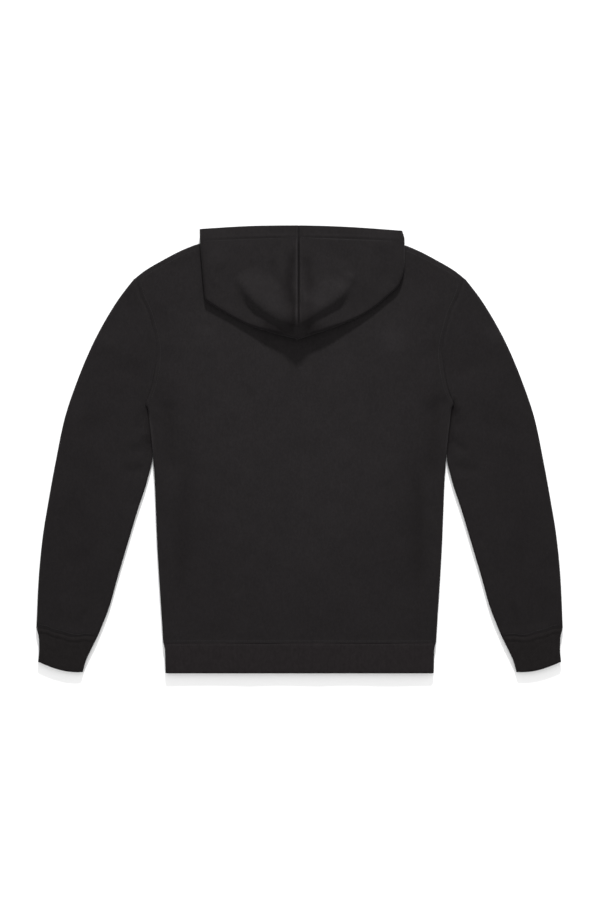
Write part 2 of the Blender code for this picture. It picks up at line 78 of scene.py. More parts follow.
# Creases are lines that the cloth sinks along (or rises, where the depth is below zero), with a half width,
# or two half widths where one side is steeper: left of the line's way, then right
BACK_CREASES = (
    (((-222, 84), (-217, 30), (-210, -52)), 3.2, 14),
    (((-186, 0), (-192, -80), (-196, -170), (-200, -262)), 2.9, (16, 10)),
    (((232, 96), (225, 40), (219, -60)), 3.0, 13),
    (((190, -10), (197, -86), (198, -170), (197, -262)), 3.2, (10, 14)),
    (((-154, 205), (-158, 160)), -1.2, 22),
    (((153, 200), (157, 150)), -1.2, 22),
    (((-232, 172), (-214, 150), (-190, 141)), 1.0, 12),
    (((234, 178), (215, 158), (196, 152)), 1.0, 13),
    (((-238, 238), (-225, 215), (-222, 190)), 1.0, 10),
    (((240, 240), (226, 220), (223, 197)), 1.0, 10),
    (((-246, 84), (-225, 70), (-200, 66)), 1.2, 11),
    (((247, 86), (228, 74), (204, 62)), 1.3, 12),
    (((-120, -120), (-112, -210)), 0.9, 26),
    (((96, -100), (104, -230)), 0.8, 28),
    (((-60, 40), (-20, 10), (40, 22)), 0.35, 30),
)
# Painted shade, and below zero painted highlight, added to the painted shade of the creases: lighter rims
# beside the underarms and darker bands toward the sides
BACK_PAINTED_SHADING = (
    (((-252, 66), (-247, 34), (-243.2, -10)), -5, 1.6),
    (((252, 66), (248, 34), (243.2, -10)), -5, 1.6),
    (((-176, -40), (-170, -180)), 0.8, 24),
    (((176, -40), (172, -240)), 0.8, 24),
)


def through(keys, values, at):
    """A smooth curve through the values at the keys, which never swings past them."""
    keys, values, at = (np.asarray(a, float) for a in (keys, values, at))
    step = np.diff(keys)
    rise = np.diff(values) / step
    slope = np.concatenate([rise[:1], np.zeros(len(keys) - 2), rise[-1:]])
    same = rise[:-1] * rise[1:] > 0
    both = np.where(same, rise[:-1] + rise[1:], 1)
    slope[1:-1] = np.where(same, 2 * rise[:-1] * rise[1:] / both, 0)
    i = np.clip(np.searchsorted(keys, at, "right") - 1, 0, len(keys) - 2)
    t = np.clip((at - keys[i]) / step[i], 0, 1)
    start = values[i] + t * step[i] * slope[i] * (1 - t) ** 2
    bend = t * t * (3 - 2 * t) * (values[i + 1] - values[i])
    return start + bend - t * t * (1 - t) * step[i] * slope[i + 1]


def ease(t):
    t = np.clip(t, 0, 1)
    return t * t * (3 - 2 * t)


def rolled(length, turn, parts):
    """How far a strip of cloth goes on and up as it turns, at each part of its length."""
    along = np.linspace(0, length, parts + 1)[1:]
    if abs(turn) < 1e-6:
        return np.stack([along, np.zeros(parts)], 1)
    radius = length / turn
    angle = along / radius
    return np.stack([radius * np.sin(angle), radius * (1 - np.cos(angle))], 1)


def creased(x, y, creases):
    """How far a set of creases sinks the cloth at each place. A crease fades toward its ends, or is held at
    one where its fourth value, the share kept at its start and end, says so."""
    sunk = np.zeros(np.shape(x))
    for line, depth, reach, *held in creases:
        line = np.array(line, float)
        steps = np.linalg.norm(np.diff(line, axis=0), axis=1)
        reached = np.concatenate([[0], np.cumsum(steps)])
        nearest = np.full(np.shape(x), 1e9)
        along = np.zeros(np.shape(x))
        on_left = np.zeros(np.shape(x), bool)
        for start, run, long, done in zip(line[:-1], np.diff(line, axis=0), steps, reached):
            off_x, off_y = x - start[0], y - start[1]
            t = np.clip((off_x * run[0] + off_y * run[1]) / long**2, 0, 1)
            away = np.hypot(off_x - t * run[0], off_y - t * run[1])
            closer = away < nearest
            along = np.where(closer, done + t * long, along)
            on_left = np.where(closer, run[0] * off_y > run[1] * off_x, on_left)
            nearest = np.minimum(nearest, away)
        left, right = reach if isinstance(reach, tuple) else (reach, reach)
        first, last = held[0] if held else (0.25, 0.25)
        share = along / reached[-1]
        fade = ease(share / 0.35 + first) * ease((1 - share) / 0.35 + last)
        sunk += depth * fade * np.exp(-((nearest / np.where(on_left, left, right)) ** 2))
    return sunk


def uneven(x, y, phase):
    """The slight waves that laid cloth keeps."""
    first = np.sin(x / 29 + 1.3 * np.sin(y / 53 + phase)) * np.sin(y / 37 + phase)
    second = np.sin(x / 13 + y / 19 + 2 * phase) * np.sin(y / 15 - x / 41)
    return 0.38 * first + 0.14 * second


def swell(away, height, wide):
    """How high a soft ridge is at each distance from its middle."""
    return height * np.exp(-((away / wide) ** 2))


def seam_line(away):
    """The cloth's height beside a seam: down into it, and up over the turned-in edge."""
    return swell(away - 6, 0.4, 3.4) - swell(away, 0.75, 1.9)


def on_upper(z):
    """1 on a laid piece's upper layer, and 0 from just above its middle down."""
    return ease((z - 4.2) / 2.4)


def wall_faces(number, back, closed):
    """The faces of a wall from the numbers of its grid's points: outside, inside and rims."""
    a, b, c, d = number[:-1, :-1], number[:-1, 1:], number[1:, 1:], number[1:, :-1]
    quads = [np.stack([a, d, c, b], -1).reshape(-1, 4)]
    quads.append(np.stack([a, b, c, d], -1).reshape(-1, 4) + back)
    rims = [number[0], number[-1][::-1]]
    if not closed:
        rims += [number[:, -1], number[:, 0][::-1]]
    for rim in rims:
        p, q = rim[:-1], rim[1:]
        quads.append(np.stack([p, q, q + back, p + back], -1))
    return np.concatenate(quads)


def wall_facing(grid, closed, halved, seams):
    """The way that the cloth faces at each point of its grid.

    In a halved piece, the first row and the rows' flat starts lie in a plane of constant X. seams says
    which way the cloth goes on past a seam: (0 down or 1 across, the points, the way).
    """
    down = np.gradient(grid, axis=0, edge_order=2)
    across = np.gradient(grid, axis=1, edge_order=2)
    if closed:
        across = np.roll(grid, -1, axis=1) - np.roll(grid, 1, axis=1)
    for kind, points, way in seams:
        (down, across)[kind][points] = way
    facing = np.cross(down, across)
    if halved:
        facing[0, :, 0] = 0
        facing[:, 0] = (0, 0, np.sign(facing[-1, 1, 2]))
    return facing / np.linalg.norm(facing, axis=2, keepdims=True)


def lay_on_cut(mesh, grid, closed):
    """Gives a wall's mesh its map of places on the piece's cut, in metres."""
    first, second = np.zeros(grid.shape[:2]), np.zeros(grid.shape[:2])
    first[:, 1:] = np.cumsum(np.linalg.norm(np.diff(grid, axis=1), axis=2), axis=1)
    second[1:] = np.cumsum(np.linalg.norm(np.diff(grid, axis=0), axis=2), axis=0)
    first -= first[:, [first.shape[1] // 2]]
    place = np.stack([first, second], -1).reshape(-1, 2) * MM
    corner = np.arange(first.size).reshape(first.shape)
    corners = wall_faces(corner, first.size, closed) % first.size
    mesh.uv_layers.new(name="cut").uv.foreach_set("vector", place[corners].ravel())


def cloth_wall(name, grid, thick, finish, closed=False, halved=False, seams=(), painted_shading=None):
    """A piece of cloth: a closed wall around a grid through its middle, with a map of places on its cut.

    The last argument is the painted shading: painted shade that darkens the cloth, and below zero painted
    highlight that lightens it.
    """
    rows, columns = grid.shape[:2]
    facing = wall_facing(grid, closed, halved, seams)
    shift = facing * np.broadcast_to(thick, (rows, columns))[..., None] / 2
    points = np.concatenate([(grid + shift).reshape(-1, 3), (grid - shift).reshape(-1, 3)]) * MM
    number = np.arange(rows * columns).reshape(rows, columns)
    if closed:
        number = np.concatenate([number, number[:, :1]], 1)
        grid = np.concatenate([grid, grid[:, :1]], 1)
    mesh = bpy.data.meshes.new(name)
    mesh.from_pydata(points, [], wall_faces(number, rows * columns, closed))
    lay_on_cut(mesh, grid, closed)
    sunk = np.zeros((rows, columns)) if painted_shading is None else painted_shading
    mesh.attributes.new("painted_shading", "FLOAT", "POINT").data.foreach_set("value", np.tile(sunk.ravel(), 2))
    return finished(name, mesh, finish)


def finished(name, mesh, finish):
    """The mesh as a piece with its finish, with its faces turned outward."""
    if signed_volume(mesh) < 0:
        mesh.flip_normals()
    mesh.materials.append(finish.material)
    mesh.shade_smooth()
    mesh.set_sharp_from_angle(angle=math.radians(50))
    piece = bpy.data.objects.new(name, mesh)
    bpy.context.collection.objects.link(piece)
    return piece


def signed_volume(mesh):
    """Six times the volume inside a mesh, below zero if its faces point in."""
    points = np.array([v.co for v in mesh.vertices])
    mesh.calc_loop_triangles()
    a, b, c = (points[[t.vertices[i] for t in mesh.loop_triangles]] for i in range(3))
    return float(np.einsum("ij,ij->", a, np.cross(b, c)))


class Finish:
    """A material. What is the same all over is set on its shader; the rest comes from nodes."""

    def __init__(self, name, **same):
        self.material = bpy.data.materials.new(name)
        self.material.use_nodes = True
        self.tree = self.material.node_tree
        self.shader = self.tree.nodes["Principled BSDF"]
        for socket, value in same.items():
            self.shader.inputs[socket.replace("_", " ")].default_value = value

    def node(self, kind, inputs=(), output=0, stops=(), **settings):
        """Adds a node with its settings and inputs, and gives one of its outputs."""
        node = self.tree.nodes.new("ShaderNode" + kind)
        for setting, value in settings.items():
            setattr(node, setting, value)
        for stop, (at, colour) in zip(node.color_ramp.elements if stops else (), stops):
            stop.position, stop.color = at, (*colour, 1)
        for socket, value in dict(inputs).items():
            self.feed(node.inputs[socket], value)
        return Value(self, node.outputs[output])

    def feed(self, socket, value):
        if isinstance(value, Value):
            self.tree.links.new(value.socket, socket)
        else:
            socket.default_value = value

    def set(self, socket, value):
        self.feed(self.shader.inputs[socket], value)

    def mixed(self, share, first, second):
        """A colour between two, at a share that varies."""
        first, second = ((*c, 1) if isinstance(c, tuple) else c for c in (first, second))
        return self.node("Mix", {0: share, 6: first, 7: second}, output=2, data_type="RGBA")

    def on_cut(self):
        """Places across and along the piece's cut, in metres."""
        place = self.node("UVMap", uv_map="cut")
        return [self.node("SeparateXYZ", {0: place}, output=i) for i in (0, 1)]

    def on_frame(self):
        """Places across and along the whole garment, in metres."""
        place = self.node("TexCoord", output=3)
        return [self.node("SeparateXYZ", {0: place}, output=i) for i in (0, 1)]

    def noise(self, size, detail=2.0, roughness=0.5, stretch=(1, 1, 1), distortion=0.0):
        """Noise through the frame, with blots of a size in metres, drawn out along an axis by stretch."""
        place = self.node("TexCoord", output=3)
        scaled = self.node("VectorMath", {0: place, 1: stretch}, operation="MULTIPLY")
        inputs = {"Vector": scaled, "Scale": 1 / size, "Detail": detail, "Roughness": roughness}
        return self.node("TexNoise", {**inputs, "Distortion": distortion})

    def raised(self, height):
        """Raises the surface by a height in metres, for the light alone."""
        bump = self.node("Bump", {"Height": height, "Distance": 1.0, "Strength": 1.0})
        self.set("Normal", bump)


class Value:
    """A value that varies over a surface. Maths on it adds the nodes for it."""

    def __init__(self, finish, socket):
        self.finish = finish
        self.socket = socket

    def maths(self, operation, *values):
        return self.finish.node("Math", enumerate(values), operation=operation)

    def __add__(self, other):
        return self.maths("ADD", self, other)

    __radd__ = __add__

    def __sub__(self, other):
        return self.maths("SUBTRACT", self, other)

    def __rsub__(self, other):
        return self.maths("SUBTRACT", other, self)

    def __mul__(self, other):
        return self.maths("MULTIPLY", self, other)

    __rmul__ = __mul__

    def __truediv__(self, other):
        return self.maths("DIVIDE", self, other)

    def __pow__(self, other):
        return self.maths("POWER", self, other)

    def __mod__(self, other):
        return self.maths("FLOORED_MODULO", self, other)

    def __abs__(self):
        return self.maths("ABSOLUTE", self)

    def wave(self):
        return self.maths("SINE", self) * 0.5 + 0.5

    def between(self, low, high):
        """0 at low, 1 at high, and held there beyond."""
        inputs = {"Value": self, "From Min": low, "From Max": high}
        return self.finish.node("MapRange", inputs, interpolation_type="SMOOTHSTEP")


# The fleece's loops and nap, in metres, and the colours of the painted shade and painted highlight that the
# pieces carry
COTTON = dict(Metallic=0.0, IOR=1.5, Sheen_Roughness=0.45, Sheen_Tint=(0.95, 0.92, 0.95, 1))
WALE = 0.0011
COURSE = 0.0009
LOOP_RELIEF = 0.00010
NAP = 0.00016
PAINTED_SHADE_COLOUR = (0.0008, 0.0, 0.0002)
PAINTED_HIGHLIGHT_COLOUR = (0.03, 0.0268, 0.0279)
PAINTED_SHADING_SHARE = 0.045


def knit_finish(name, dark, light):
    """A jersey knit: wales of small legged loops, with a nap of short fibres raised over them. Its colour
    also carries painted shade and painted highlight.
    """
    finish = Finish(name, Specular_IOR_Level=0.12, Sheen_Weight=0.035, **COTTON)
    across, along = finish.on_cut()
    off_middle = abs(across / WALE % 1 - 0.5) * 2
    loops = ((along / COURSE + off_middle * 0.9) * (2 * math.pi)).wave()
    ribs = 1 - off_middle**2
    fibres = finish.noise(0.0007, detail=3, roughness=0.7, distortion=0.6)
    strokes = finish.noise(0.0034, detail=3, roughness=0.65, stretch=(1, 0.55, 1), distortion=1.2)
    patches = finish.noise(0.045, detail=2)
    height = ribs * (loops * 0.4 + 0.6) * LOOP_RELIEF + fibres * (NAP * 0.5) + strokes * NAP
    finish.raised(height + patches * (NAP * 2))
    share = strokes.between(0.34, 0.68) * 0.55 + patches.between(0.3, 0.7) * 0.2 + fibres * 0.25
    # Painted shade: darker the farther from the middle of the back, out to the sides and the sleeves.
    x, y = finish.on_frame()
    off_back = (x / 0.26) ** 2 + ((y - 0.15) / 0.46) ** 2
    painted_falloff = off_back.between(0.1, 1.1) * 0.2 + off_back.between(1, 2.8) * 0.1
    # Each piece's painted shading: painted shade in its creases, seams and folds, and painted highlight where
    # it is below zero.
    painted_shading = finish.node("Attribute", output=2, attribute_name="painted_shading")
    brushed = finish.mixed(share, dark, light)
    shaded_colour = finish.mixed(painted_falloff + painted_shading * PAINTED_SHADING_SHARE, brushed, PAINTED_SHADE_COLOUR)
    # Painted highlight, where that shading is below zero.
    rubbed = finish.mixed(painted_shading * -PAINTED_SHADING_SHARE, shaded_colour, PAINTED_HIGHLIGHT_COLOUR)
    finish.set("Base Color", rubbed)
    finish.set("Roughness", 0.86 + fibres * 0.12)
    return finish


fleece = knit_finish("fleece", (0.0069, 0.0059, 0.0062), (0.0121, 0.0106, 0.0111))


def side_x(y):
    return through(SIDE["y"], SIDE["x"], y)


def armhole_x(y):
    return through(ARMHOLE["y"], ARMHOLE["x"], y)


def shoulder_seam(x):
    """The start of the front's roll over the shoulder, which is under its end at the shoulder seam."""
    return through(SHOULDER["x"], SHOULDER["y"], x) - LAID / 2


def arm_rows():
    """The heights of the rows that end on the armhole, which the sleeve's cap shares."""
    return np.linspace(UNDERARM, ARMHOLE_TOP, ARM_ROWS + 1)


def slider_bump(x, y):
    """How far the zip's slider pushes the cloth up."""
    return 1.8 * np.exp(-((x / 28) ** 2) - ((y - 269.5) / 32) ** 2)


def panel_rows():
    """Each body row's side end: its height, its half width and how far it turns toward the other layer."""
    below = np.linspace(HEM_SEAM, UNDERARM - 5, SIDE_ROWS)
    y = np.concatenate([below, arm_rows()])
    reach = np.concatenate([side_x(below), armhole_x(arm_rows())])
    turn = np.concatenate([np.full(SIDE_ROWS, math.pi / 2), np.zeros(ARM_ROWS + 1)])
    return zip(y, reach, turn)


def up_armhole(y):
    """0 at the underarm and below it, 1 at the top of the armhole."""
    return ease((y - UNDERARM) / (ARMHOLE_TOP - UNDERARM))


def edge_strip(reach, turn):
    """A row's last stretch, at the side seam or the armhole: where it starts, and its points on and up."""
    strip = rolled(ROLL * math.pi / 2, turn, ROLL_PARTS)
    start = reach - (LAID / 2 if turn > 0 else strip[-1, 0])
    return start, strip


def back_top(x):
    """The back's top line, neckline then shoulder seam."""
    neck = through(BACK_NECK["x"], BACK_NECK["y"], x)
    return np.where(x < NECK_SIDE, neck, shoulder_seam(x))


def back_relief(x, y, reach, top):
    """What creases, waves and seams add to the back's height."""
    arm = ease((y - UNDERARM + 4) / 16)
    sewn = seam_line(reach - np.abs(x)) * arm + 0.6 * seam_line(top - y)
    hem = swell(y - HEM_SEAM, 0.7, 1.7) - swell(y - HEM_SEAM - HEM_STITCHES, 0.6, 1.1)
    return sewn + hem + uneven(x, y, 0.4) - creased(x, y, BACK_CREASES)


def back_panel():
    neck_share = NECK_SIDE / ARMHOLE["x"][-1]
    below_neck = np.linspace(0, neck_share, NECK_COLUMNS)
    share = np.concatenate([below_neck, np.linspace(neck_share, 1, SHOULDER_COLUMNS)[1:]])
    rows = []
    for y, reach, turn in panel_rows():
        start, strip = edge_strip(reach, turn)
        x = np.concatenate([start * share, start + strip[:, 0]])
        top = back_top(x / reach * ARMHOLE["x"][-1])
        up = y + up_armhole(y) * (top - ARMHOLE_TOP)
        z = LAID - CLOTH / 2 + slider_bump(x, up)
        z[len(share) :] -= strip[:, 1]
        held = on_upper(z)
        halves = []
        for side in (-1, 1):
            relief = held * back_relief(side * x, up, reach, top)
            halves.append(np.stack([side * x, up, z + relief], 1))
        rows.append(np.concatenate([halves[0][:0:-1], halves[1]]))
    grid = np.array(rows)
    x, y = grid[..., 0], grid[..., 1]
    # Painted shade in the creases, as deep as they sink, and the painted shading above
    nap = creased(x, y, BACK_CREASES) + creased(x, y, BACK_PAINTED_SHADING)
    return cloth_wall("back_cloth", grid, CLOTH, fleece, painted_shading=nap)


back = back_panel()
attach(back, "garment")
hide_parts("back_panel")

# ---- Fronts ----
# Two pieces of the same fleece, under the back as the hoodie lies. Each runs from its turned edge beside the
# zip to the side seam, and rolls over the shoulder to a seam on the back.

HANDS = (("left", -1), ("right", 1))
ZIP_EDGE = 4.5
ZIP_TOP = 276.0
TURNED = 12.0
TURNED_CLOTH = 3.4
TURNED_COLUMNS = (0, 3, 6, 9, TURNED - 1)
EDGE_STITCHES = 9  # from the turned edge to its row of stitches
FRONT_COLUMNS = 40
FRONT_NECK_ROWS = 14
FRONT_NECK = dict(x=(4.5, 45, 72, 88, 95), y=(276, 290, 312, 335, 353))
SHOULDER_WAY = np.array([0.286, 0.958])
SLEEVE_WAY = (0.958, -0.286, 0)
FRONT_CREASES = (
    (((214, 70), (210, -20)), -0.9, 13),
    (((196, -90), (198, -250)), -0.8, 12),
    (((236, 176), (205, 150)), -0.8, 12),
    (((120, 120), (150, 40)), -0.6, 22),
    (((70, -120), (84, -230)), -0.6, 20),
)


def front_starts():
    """Where the rows above the underarm start: on the turned edge beside the zip, then on the neckline."""
    edge_y = np.linspace(UNDERARM, ZIP_TOP, ARM_ROWS + 1 - FRONT_NECK_ROWS)
    neck = np.linspace(0, 1, FRONT_NECK_ROWS + 1)[1:]
    neck_x = through((0, 1), (ZIP_EDGE, NECK_SIDE), neck**0.8)
    starts = [(ZIP_EDGE, y) for y in edge_y]
    return starts + list(zip(neck_x, through(FRONT_NECK["x"], FRONT_NECK["y"], neck_x)))


def front_row(y, reach, turn, from_x, from_y):
    """A row of a front, from its start to its side end, and how thick the cloth is along it."""
    start, strip = edge_strip(reach, turn)
    plain = np.linspace(TURNED, start - from_x, FRONT_COLUMNS)
    x = from_x + np.concatenate([TURNED_COLUMNS, plain])
    x = np.concatenate([x, start + strip[:, 0]])
    share = (x - from_x) / (reach - from_x)
    chord = shoulder_seam(NECK_SIDE) + (ARMHOLE_TOP - shoulder_seam(NECK_SIDE)) * share
    bulge = shoulder_seam(NECK_SIDE + (ARMHOLE["x"][-1] - NECK_SIDE) * share) - chord
    up = from_y + (y - from_y) * share + up_armhole(y) * np.maximum(bulge, 0)
    turned = (np.arange(len(x)) < len(TURNED_COLUMNS)) & (from_y <= ZIP_TOP)
    cloth = np.where(turned, TURNED_CLOTH, CLOTH)
    folds = np.maximum(-creased(x, up, FRONT_CREASES), 0)
    z = cloth / 2 + (folds + swell(x - from_x - EDGE_STITCHES, 0.5, 1.5))
    z[-ROLL_PARTS:] += strip[:, 1]
    return np.stack([x, up, z], 1), cloth


def front_panel(name, side):
    starts = front_starts()
    rows, thick = [], []
    for i, (y, reach, turn) in enumerate(panel_rows()):
        from_x, from_y = (ZIP_EDGE, y) if i < SIDE_ROWS else starts[i - SIDE_ROWS]
        row, cloth = front_row(y, reach, turn, from_x, from_y)
        rows.append(row)
        thick.append(cloth)
    last, around = rows[-1], math.pi * ROLL
    for part, (on, rise) in enumerate(rolled(around, math.pi, 2 * ROLL_PARTS), 1):
        dip = swell(around * (1 - part / 2 / ROLL_PARTS), 0.45, 1.9)
        rows.append(last + np.array((*(SHOULDER_WAY * on), rise - dip)))
        thick.append(thick[-1])
    rolls = (slice(SIDE_ROWS + ARM_ROWS, None), -1)
    way = np.multiply(SLEEVE_WAY, (side, 1, 1))
    grid = np.array(rows) * (side, 1, 1)
    return cloth_wall(name, grid, np.array(thick), fleece, seams=((1, rolls, way),))


fronts = {}
for hand, side in HANDS:
    fronts[hand] = front_panel(f"front_cloth_{hand}", side)
    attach(fronts[hand], "garment")
    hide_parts(f"front_{hand}")

# ---- Sleeves ----
# One piece of fleece each, closed along the inner fold by the underarm seam and sewn into the armhole. They
# lie flat, with a few soft creases at the armpit and the elbow, and gather a little into the cuffs.

SLEEVE = dict(
    outer_x=(274.7, 303.4, 342, 370.6, 392.8, 406.6, 418.8, 429.4, 435.6, 439.2),
    outer_y=(286.5, 249.2, 182.5, 115.8, 49.2, -17.5, -84.2, -150.8, -217.5, -297.5),
    inner_x=(254.8, 250.3, 246.6, 245.3, 254.2, 271, 287, 303.5, 317.6, 337.7),
    inner_y=(75.4, 60, 22, -10.5, -52, -104, -157.5, -213, -263, -313.5),
)
SLEEVE_RINGS = 120
FOLD_PARTS = 8
UNDERARM_WAY = np.array([0.32, -0.947])
UNDERARM_RUN = (0.98, -0.2, 0)
SLEEVE_CREASES = {
    "left": (
        (((-251, 74), (-251, 40), (-248, -6)), 3.2, 6, (0.6, 0.3)),
        (((-250, 72), (-262, 52), (-270, 28)), 1.4, 8),
        (((-250, 22), (-262, 4), (-282, -6)), 1.8, 8),
        (((-258, -30), (-276, -36), (-296, -32)), 1.3, 9),
        (((-258, 120), (-282, 132), (-310, 136)), 1.2, 13),
        (((-330, 196), (-318, 168)), -1.0, 18),
        (((-374, -76), (-366, -130), (-354, -204)), 1.0, 15),
        (((-392, -92), (-376, -112), (-350, -120)), 0.6, 15),
        (((-346, -170), (-372, -184), (-402, -180)), 0.7, 14),
        (((-300, 60), (-330, 40), (-366, 44)), 0.9, 18),
        (((-352, -262), (-366, -286), (-370, -300)), 1.2, 7),
        (((-408, -252), (-402, -276), (-404, -294)), 1.0, 7),
        (((-386, -268), (-384, -298)), 0.9, 5),
    ),
    "right": (
        (((253, 76), (252, 40), (248, -6)), 3.4, 7, (0.9, 0.2)),
        (((250, 76), (259, 58), (266, 32)), 1.6, 8),
        (((250, 20), (264, 6), (280, -4)), 1.7, 8),
        (((257, -26), (274, -34), (298, -34)), 1.3, 9),
        (((257, 126), (284, 138), (306, 146)), 1.1, 13),
        (((322, 202), (332, 172)), -1.0, 18),
        (((364, -92), (368, -150), (366, -244)), 1.0, 14),
        (((388, -86), (370, -104), (342, -110)), 0.6, 15),
        (((342, -160), (374, -172), (404, -164)), 0.7, 15),
        (((298, 52), (334, 36), (362, 42)), 0.9, 18),
        (((354, -258), (362, -284), (360, -302)), 1.2, 7),
        (((404, -256), (408, -278), (404, -296)), 1.0, 7),
        (((384, -266), (388, -298)), 0.9, 5),
    ),
}
# Painted shade, and below zero painted highlight: the body's edge shading the sleeve along the underarm,
# small dark patches below it, and one lighter patch
SLEEVE_PAINTED_SHADING = {
    "left": (
        (((-254, 72), (-249.5, 46), (-246.6, 16), (-244.5, -12)), 15, 2.0, (1.0, 1.0)),
        (((-254, 18), (-251, -8)), 5, 7),
        (((-372, 92), (-366, 48)), -0.8, 16),
    ),
    "right": (
        (((256, 76), (252, 58), (248, 26), (244.5, -12)), 16, 2.2, (1.0, 1.0)),
        (((258, 72), (264, 58)), 6.5, 8),
        (((251, 12), (252, -10)), 4.5, 7),
    ),
}


def flat_ring(path, ways, thick, laid, last_fold=1.0):
    """A ring of cloth laid flat: its upper layer along a path, a fold, its lower layer back, and a fold.

    ways are the ways that the folds at the path's start and end point. last_fold squeezes the second.
    """
    radius = (laid - thick) / 2
    angle = np.linspace(0, math.pi, FOLD_PARTS + 1)[1:-1, None]

    def fold(end, way, turn, squeeze=1.0):
        flat = end + way * radius * squeeze * np.sin(angle)
        height = radius * min(1, 0.5 + squeeze)
        return np.concatenate([flat, laid / 2 + turn * height * np.cos(angle)], 1)

    high = np.concatenate([path, np.full((len(path), 1), laid - thick / 2)], 1)
    low = np.concatenate([path[::-1], np.full((len(path), 1), thick / 2)], 1)
    return np.concatenate([high, fold(path[-1], ways[1], 1, last_fold), low, fold(path[0], ways[0], -1)])


def column(table, name, at):
    """A named column of a table of sections, at a place from 0, the first row, to 1, the last."""
    return through(np.linspace(0, 1, len(table[name])), table[name], at)


def edge_point(table, which, t, turn):
    """A point on the outer or inner fold of a sleeve or cuff, and the way square to it, outward."""
    at = np.clip([t - 0.01, t, t + 0.01], 0, 1)
    line = np.stack([column(table, which + "_x", at), column(table, which + "_y", at)], 1)
    run = (line[2] - line[0]) / np.linalg.norm(line[2] - line[0])
    return line[1], turn * np.array([-run[1], run[0]])


def section(table, t, share, first_way=None, settle=0.0):
    """A straight section of a sleeve or cuff between its folds, and the ways of the folds."""
    outer, outer_way = edge_point(table, "outer", t, 1)
    inner, inner_way = edge_point(table, "inner", t, -1)
    if first_way is not None:
        mixed = first_way + (outer_way - first_way) * ease(t / settle)
        outer_way = mixed / np.linalg.norm(mixed)
    start, end = outer - outer_way * LAID / 2, inner - inner_way * LAID / 2
    return start + (end - start) * share[:, None], (outer_way, inner_way)


def cuff_seam_sag(share):
    """How the seam at the cuff hangs below a straight line between its ends."""
    down = through((0, 0.13, 0.26, 0.42, 0.58, 0.7, 0.83, 1), (0, -0.6, 2.6, 3.4, 5.9, 5, 1.3, 0), share)
    return np.stack([0 * down, -down], 1)


def tube_relief(grid, upper):
    """Adds a height to a laid tube's upper layer and half as much, inward, to its lower one."""
    z = grid[..., 2]
    high, low = on_upper(z), ease((3.4 - z) / 1.8)
    return z + high * upper + 0.5 * low * np.abs(upper)


def sleeve(hand, side):
    y = arm_rows()[::-1]
    cap = np.stack([armhole_x(y), y], 1)
    share = np.linspace(0, 1, ARM_ROWS + 1)
    straight = cap[0] + (cap[-1] - cap[0]) * share[:, None]
    rings = [flat_ring(cap, (SHOULDER_WAY, UNDERARM_WAY), CLOTH, LAID, last_fold=0.15)]
    for t in np.linspace(0, 1, SLEEVE_RINGS)[1:]:
        path, ways = section(SLEEVE, t, share, SHOULDER_WAY, 0.12)
        settled = ease(t / (0.04 + 0.4 * (1 - share[:, None])))
        curve = (1 - settled) * (cap - straight) + cuff_seam_sag(share) * ease((t - 0.86) / 0.14)
        last_fold = float(through((0, 0.03, 1), (0.15, 1, 1), t))
        rings.append(flat_ring(path + curve, ways, CLOTH, LAID, last_fold))
    grid = np.array(rings) * (side, 1, 1)
    x, y = grid[..., 0], grid[..., 1]
    along = np.linalg.norm(grid - grid[:1], axis=2)
    to_cuff = np.linalg.norm(grid - grid[-1:], axis=2)
    sunk = creased(x, y, SLEEVE_CREASES[hand])
    relief = seam_line(along) + seam_line(to_cuff) + uneven(x, y, side) - sunk
    grid[..., 2] = tube_relief(grid, relief)
    low_start = len(cap) + FOLD_PARTS - 1
    inner = slice(ARM_ROWS // 2, low_start + ARM_ROWS // 2 + 1)
    way = np.multiply(SLEEVE_WAY, (side, 1, 1))
    run = np.multiply(UNDERARM_RUN, (side, 1, 1))
    seams = ((0, (0, slice(None)), way), (0, (0, inner), run))
    # Painted shade in the creases, as deep as they sink, and the sleeve's painted shading
    nap = sunk + creased(x, y, SLEEVE_PAINTED_SHADING[hand])
    return cloth_wall(f"sleeve_cloth_{hand}", grid, CLOTH, fleece, closed=True, seams=seams, painted_shading=nap)


sleeves = {}
for hand, side in HANDS:
    sleeves[hand] = sleeve(hand, side)
    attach(sleeves[hand], "garment")
    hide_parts(f"sleeve_{hand}")

# ---- Cuffs ----
# A strip of rib knit each, folded double and sewn to the sleeve's end. The rib pulls in, so the sleeve
# bulges a little over the seam, and the seam's edges make a low ridge under the cuff's top.

RIB = 3.4
CUFF = dict(
    outer_x=(439, 435.2, 434.8, 436.6),
    outer_y=(-298.6, -316, -335, -354.2),
    inner_x=(338.1, 348.5, 357, 361.6),
    inner_y=(-314.2, -335, -354, -371.4),
)
CUFF_BOW = 4.5  # how far the cuff's end bows out
CUFF_RINGS = 34
CUFF_COLUMNS = 36
RIB_WALE = 0.0022  # in metres, as the course
RIB_COURSE = 0.0009


def rib_finish(name, dark, light):
    """Fine one-by-one rib knit, closer and flatter than the fleece, with a short nap."""
    finish = Finish(name, Specular_IOR_Level=0.1, Sheen_Weight=0.03, **COTTON)
    across, along = finish.on_cut()
    off_middle = abs(across / RIB_WALE % 1 - 0.5) * 2
    ribs = 1 - off_middle**2
    loops = ((along / RIB_COURSE + off_middle * 0.6) * (2 * math.pi)).wave()
    fibres = finish.noise(0.0008, detail=3, roughness=0.7)
    strokes = finish.noise(0.005, detail=3, roughness=0.6, stretch=(1, 0.6, 1), distortion=0.8)
    finish.raised(ribs * 0.00022 + ribs * loops * 0.00008 + fibres * 0.00007 + strokes * 0.00012)
    share = ribs * 0.3 + strokes.between(0.3, 0.7) * 0.5 + fibres * 0.2
    finish.set("Base Color", finish.mixed(share, dark, light))
    finish.set("Roughness", 0.88 + fibres * 0.1)
    return finish


# The cuffs take a darker copy of the hem's rib: painted shade.
shaded_cuff_rib = rib_finish("cuff rib", (0.0046, 0.0037, 0.0037), (0.0088, 0.0075, 0.0076))


